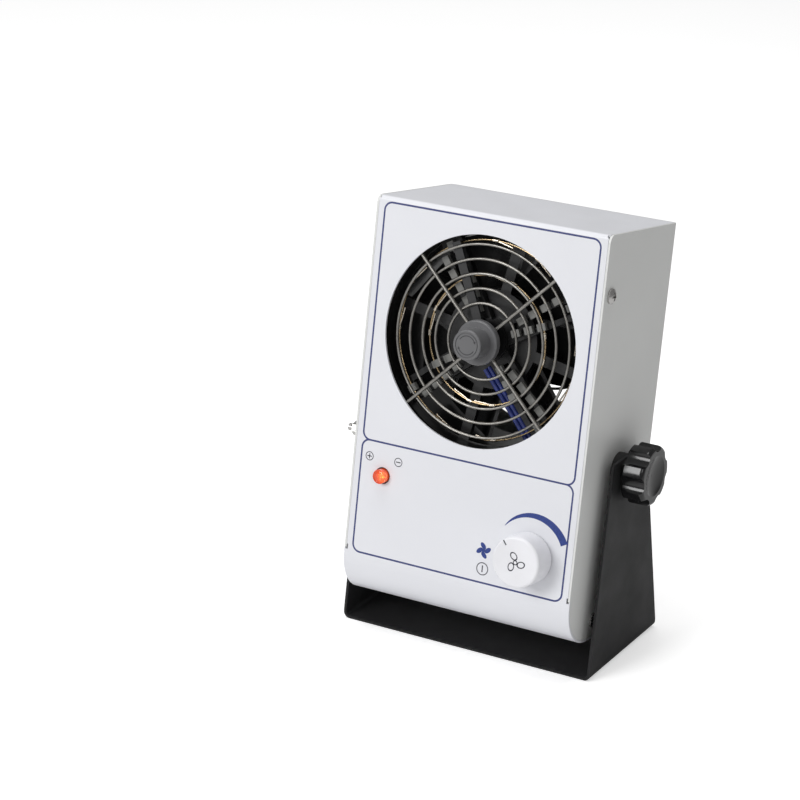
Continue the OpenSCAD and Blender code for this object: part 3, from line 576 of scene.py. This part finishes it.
class BLOWER_OT_inside(bpy.types.Operator):
    """Finishes of the supply, the board, the inlet and the rubber spacers"""
    bl_idname = "blower.inside"
    bl_label = "Electrical finish"

    def execute(self, context):
        paint_node("hv_supply", moulded("potting", (0.02, 0.022, 0.027), 0.3, 0.3))
        paint_node("control_board", moulded("solder mask", (0.02, 0.13, 0.05), 0.25, 0.3, 0.3))
        paint_node("board_parts", moulded("component cases", (0.05, 0.05, 0.055), 0.4, 0.3))
        paint_node("indicator_body", moulded("lamp holder", (0.02, 0.02, 0.02), 0.4))
        inlet = moulded("inlet moulding", (0.02, 0.02, 0.021), 0.35, 0.25)
        paint_node("power_inlet", inlet)
        paint_node("fuse_drawer", inlet)
        paint_node("pivot_spacers", moulded("rubber", (0.018, 0.018, 0.018), 0.7, 0.5))
        n = Nodes("fuse glass")
        n.set(color=(0.9, 0.93, 0.95), through=0.9, rough=n.spread(n.noise(200.0), 0.05, 0.12))
        paint_node("fuse", n.material)
        return {"FINISHED"}


class BLOWER_OT_knobs(bpy.types.Operator):
    """Finishes of the knobs"""
    bl_idname = "blower.knobs"
    bl_label = "Knobs"

    def execute(self, context):
        f = finishes()
        paint_node("speed_knob", moulded("white moulding", tuple(f.knob_color), 0.32, 0.08, 0.15))
        paint_node("cleaning_knob", moulded("grey moulding", (0.13, 0.13, 0.135), 0.36, 0.15))
        paint_node("clamp_knob", moulded("polished black", (0.005, 0.005, 0.0055), 0.16, 0.05, 0.15))
        return {"FINISHED"}


class BLOWER_OT_front_print(bpy.types.Operator):
    """The printed frames, the speed arc and the signs on the front"""
    bl_idname = "blower.front_print"
    bl_label = "Front print"

    def execute(self, context):
        s, f = sizes(), finishes()
        navy = ink("frame ink", tuple(f.print_color))
        blue = ink("arc ink", tuple(f.arc_color))
        dark = ink("sign ink", (0.03, 0.03, 0.045))
        upper = flat_frame("print_upper_frame", s.frame_half, s.frame_top, s.frame_middle - s.line / 2,
                           s.corner, s.line)
        lower = flat_frame("print_lower_frame", s.frame_half, s.frame_middle + s.line / 2, s.frame_bottom,
                           s.corner, s.line)
        # the frames share one line, so the lower film lies a little deeper there
        for obj, out in ((upper, 0.0), (lower, -SHARED_LINE_SUNK)):
            printed([obj], obj.name, front_frame(0.0, 0.0, out), navy, "case", "case")

        # the arc that thickens towards full speed
        bpy.ops.mesh.primitive_grid_add(x_subdivisions=40, y_subdivisions=1, size=1)
        arc = started("print_speed_arc")
        for vertex in arc.data.vertices:
            t = vertex.co.x + 0.5
            angle = math.radians(ARC_START - ARC_SWEEP * t)
            radius = 21.3 + 5.6 * t - 4.0 * t * t + (0.15 + 3.4 * t - 1.4 * t * t) * (1 if vertex.co.y > 0 else -1)
            vertex.co = (radius * math.cos(angle) * MM, radius * math.sin(angle) * MM, 0)
        printed([arc], "print_speed_arc", front_frame(SPEED.x, SPEED.z), blue, "case", "case")

        # a fan sign of four swept blades
        blades = [flat_disc("sign", 1.25, 2.2, -2.5 * math.sin(math.radians(a)), 2.5 * math.cos(math.radians(a)),
                            a + 32) for a in (10, 100, 190, 280)] + [flat_disc("sign", 1.1, 1.1)]
        printed(blades, "print_fan_sign", front_frame(*FAN_SIGN_AT), blue, "case", "case")

        # the switched-on sign, and plus and minus over the lamp
        printed([flat_ring("sign", 3.6, 0.5), flat_bar("sign", 0.7, 3.8)], "print_on_sign",
                front_frame(*ON_SIGN_AT), dark, "case", "case")
        printed([flat_ring("sign", 2.5, 0.42), flat_bar("sign", 2.8, 0.5), flat_bar("sign", 0.5, 2.8)],
                "print_plus_sign", front_frame(*PLUS_SIGN_AT), dark, "case", "case")
        printed([flat_ring("sign", 2.5, 0.42), flat_bar("sign", 2.8, 0.55)], "print_minus_sign",
                front_frame(*MINUS_SIGN_AT), dark, "case", "case")

        # the propeller outline and the pointer on the speed knob
        top = proud("speed_knob")
        outline = [flat_ring("sign", 1.35, 0.5, 40)]
        for a in (20, 140, 260):
            outline.append(shifted(flat_ring("sign", 2.2, 0.6, 48), -3.5 * math.sin(math.radians(a)),
                                   3.5 * math.cos(math.radians(a)), a + 28, (0.85, 1.15, 1)))
        printed(outline, "knob_propeller_sign", front_frame(SPEED.x, SPEED.z, top), dark, "speed_control",
                "white_plastic")
        pointer = flat_bar("sign", 3.0, 0.9, 12.0, 0.0)
        shifted(pointer, turn=POINTER_TURN)
        printed([pointer], "knob_pointer", front_frame(SPEED.x, SPEED.z, top - POINTER_SUNK), dark, "speed_control",
                "white_plastic")

        # two turning arrows on the cleaning knob
        top = proud("cleaning_knob")
        arrows = []
        for start in ARROW_STARTS:
            ring = flat_ring("sign", 5.3, 0.5, 96)
            pick(ring, lambda c, n, s=start: (math.degrees(math.atan2(c.y, c.x)) - s) % 360 > ARROW_SWEEP)
            bpy.ops.mesh.delete(type="FACE")
            done_editing()
            bpy.ops.mesh.primitive_circle_add(vertices=3, radius=0.95 * MM, fill_type="NGON")
            head = started("sign")
            a = math.radians(start)
            shifted(head, 5.05 * math.cos(a), 5.05 * math.sin(a), start + 180)
            arrows += [ring, head]
        printed(arrows, "cleaner_turn_arrows", front_frame(FAN.x, FAN.z, top),
                ink("arrow ink", (0.035, 0.035, 0.037)), "cleaner", "grey_plastic")
        return {"FINISHED"}


class BLOWER_OT_indicator(bpy.types.Operator):
    """The lit lens, with a rounded end and facets that gather the light"""
    bl_idname = "blower.indicator"
    bl_label = "Indicator lamp"

    def execute(self, context):
        f = finishes()
        at, top = middle("indicator_lens"), proud("indicator_lens")
        low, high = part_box("indicator_lens")
        radius = (high.x - low.x) / 2 / MM
        bpy.ops.mesh.primitive_cylinder_add(vertices=64, radius=radius * MM, depth=(top + 4) * MM,
                                            location=(0, 0, (top - 4) / 2 * MM))
        lens = started("lamp_lens")
        bpy.ops.object.transform_apply(location=True)
        pick(lens, lambda c, n: n.z > 0.9)
        bpy.ops.mesh.inset(thickness=1.1 * MM, depth=0)
        bpy.ops.transform.translate(value=(0, 0, -0.3 * MM))
        bpy.ops.mesh.inset(thickness=0.4 * MM, depth=0)
        bpy.ops.transform.translate(value=(0, 0, 0.25 * MM))
        done_editing()
        round_edges(lens, 0.5, 4, 20)
        smooth(lens, 40)
        place(lens, front_frame(at.x, at.z))
        n = Nodes("lamp lens")
        spot = n.tree.nodes.new("ShaderNodeVectorMath")
        spot.operation = "DISTANCE"
        n.link(n.coords, spot.inputs[0])
        spot.inputs[1].default_value = CASE @ (
            Vector((at.x + radius * 0.55, FRONT_Y - top, at.z + radius * 0.1)) * MM)
        near = n.spread(spot.outputs["Value"], 1.0, 0.0, radius * 0.1 * MM, radius * 1.15 * MM)
        grain = n.spread(n.cells(1500.0), 0.0, 1.0, 0.0, 0.6)
        tone = n.mix(grain, tuple(f.lens_color), (0.62, 0.07, 0.02))
        light = n.mix(near, (0.75, 0.06, 0.012), (1.0, 0.6, 0.1))
        n.set(color=tone, rough=0.1, coat=0.5, coat_rough=0.03,
              glow_color=n.mix(grain, light, shade(tuple(f.lens_color), 0.4)),
              glow=n.math("ADD", n.math("MULTIPLY", near, f.glow), 0.14))
        n.bump(n.cells(900.0), 0.3, 0.1)
        dress(lens, n.material, "case", "lens", "indicator_lens")
        return {"FINISHED"}


class BLOWER_OT_stage(bpy.types.Operator):
    """The floor, the lamps and the camera"""
    bl_idname = "blower.stage"
    bl_label = "Floor, lamps and camera"

    def execute(self, context):
        scene = context.scene
        scene.view_settings.view_transform = "Standard"
        world = bpy.data.worlds.new("studio")
        scene.world = world
        world.use_nodes = True
        tree = world.node_tree
        background = tree.nodes["Background"]
        background.inputs["Color"].default_value = (1, 1, 1, 1)
        path = tree.nodes.new("ShaderNodeLightPath")
        seen = tree.nodes.new("ShaderNodeMath")
        seen.operation = "MAXIMUM"
        tree.links.new(path.outputs["Is Camera Ray"], seen.inputs[0])
        tree.links.new(path.outputs["Is Transmission Ray"], seen.inputs[1])
        level = tree.nodes.new("ShaderNodeMapRange")
        level.inputs["To Min"].default_value = WORLD_LEVEL
        level.inputs["To Max"].default_value = 1.0
        tree.links.new(seen.outputs["Value"], level.inputs["Value"])
        tree.links.new(level.outputs["Result"], background.inputs["Strength"])

        deselect()
        bpy.ops.mesh.primitive_plane_add(size=12, location=(0, 0, -0.0002))
        floor = started("floor")
        bpy.ops.object.transform_apply(location=True, rotation=True, scale=True)
        n = Nodes("floor")
        n.set(color=n.mix(n.noise(3.0), (0.86, 0.86, 0.86), (0.9, 0.9, 0.9)), rough=0.7, specular=0.1)
        path = n.tree.nodes.new("ShaderNodeLightPath")
        glow = n.tree.nodes.new("ShaderNodeEmission")
        glow.inputs["Strength"].default_value = FLOOR_GLOW
        add = n.tree.nodes.new("ShaderNodeAddShader")
        both = n.tree.nodes.new("ShaderNodeMixShader")
        n.link(n.shader.outputs[0], add.inputs[0])
        n.link(glow.outputs[0], add.inputs[1])
        n.link(path.outputs["Is Camera Ray"], both.inputs[0])
        n.link(n.shader.outputs[0], both.inputs[1])
        n.link(add.outputs[0], both.inputs[2])
        n.link(both.outputs[0], n.tree.nodes["Material Output"].inputs["Surface"])
        floor.data.materials.append(n.material)

        for name, at, aim, size, power in LAMPS:
            lamp = bpy.data.lights.new(name, "AREA")
            lamp.size = size
            lamp.energy = power
            obj = bpy.data.objects.new(name, lamp)
            scene.collection.objects.link(obj)
            obj.location = at
            obj.rotation_euler = (Vector(aim) - Vector(at)).to_track_quat("-Z", "Y").to_euler()

        yaw, pitch, roll = math.radians(CAMERA_YAW), math.radians(CAMERA_PITCH), math.radians(CAMERA_ROLL)
        ahead = Vector((-math.sin(yaw) * math.cos(pitch), math.cos(yaw) * math.cos(pitch), -math.sin(pitch)))
        right = Vector((math.cos(yaw), math.sin(yaw), 0))
        up = right.cross(ahead)
        across = right * math.cos(roll) + up * math.sin(roll)
        above = up * math.cos(roll) - right * math.sin(roll)
        camera = bpy.data.cameras.new("camera")
        camera.sensor_width = 36.0
        camera.lens = 36.0 / 2 / math.tan(math.radians(CAMERA_VIEW / 2))
        camera.clip_start = 0.05
        camera.clip_end = 50.0
        obj = bpy.data.objects.new("camera", camera)
        scene.collection.objects.link(obj)
        obj.matrix_world = Matrix.Translation(CAMERA_AT) @ Matrix(
            (across, above, -ahead)).transposed().to_4x4()
        scene.camera = obj
        return {"FINISHED"}


class BLOWER_PT_panel(bpy.types.Panel):
    """Sizes, finishes and steps of the blower"""
    bl_idname = "BLOWER_PT_panel"
    bl_label = "Ionizing blower"
    bl_space_type = "VIEW_3D"
    bl_region_type = "UI"
    bl_category = "Blower"

    def draw(self, context):
        for group in (context.scene.blower_sizes, context.scene.blower_finishes):
            box = self.layout.box()
            for key in group.__annotations__:
                box.prop(group, key)
        for step in STEPS:
            self.layout.operator(step.bl_idname)


STEPS = (BLOWER_OT_sheets, BLOWER_OT_metalwork, BLOWER_OT_ionizer, BLOWER_OT_fan, BLOWER_OT_inside, BLOWER_OT_knobs,
         BLOWER_OT_front_print, BLOWER_OT_indicator, BLOWER_OT_stage)
CLASSES = (BlowerFinishes, BlowerSizes) + STEPS + (BLOWER_PT_panel,)


def register():
    for cls in CLASSES:
        bpy.utils.register_class(cls)
    bpy.types.Scene.blower_finishes = bpy.props.PointerProperty(type=BlowerFinishes)
    bpy.types.Scene.blower_sizes = bpy.props.PointerProperty(type=BlowerSizes)


def unregister():
    del bpy.types.Scene.blower_sizes
    del bpy.types.Scene.blower_finishes
    for cls in reversed(CLASSES):
        bpy.utils.unregister_class(cls)


def main():
    register()
    for step in STEPS:
        area, name = step.bl_idname.split(".")
        deselect()
        getattr(getattr(bpy.ops, area), name)()


if __name__ == "__main__":
    main()
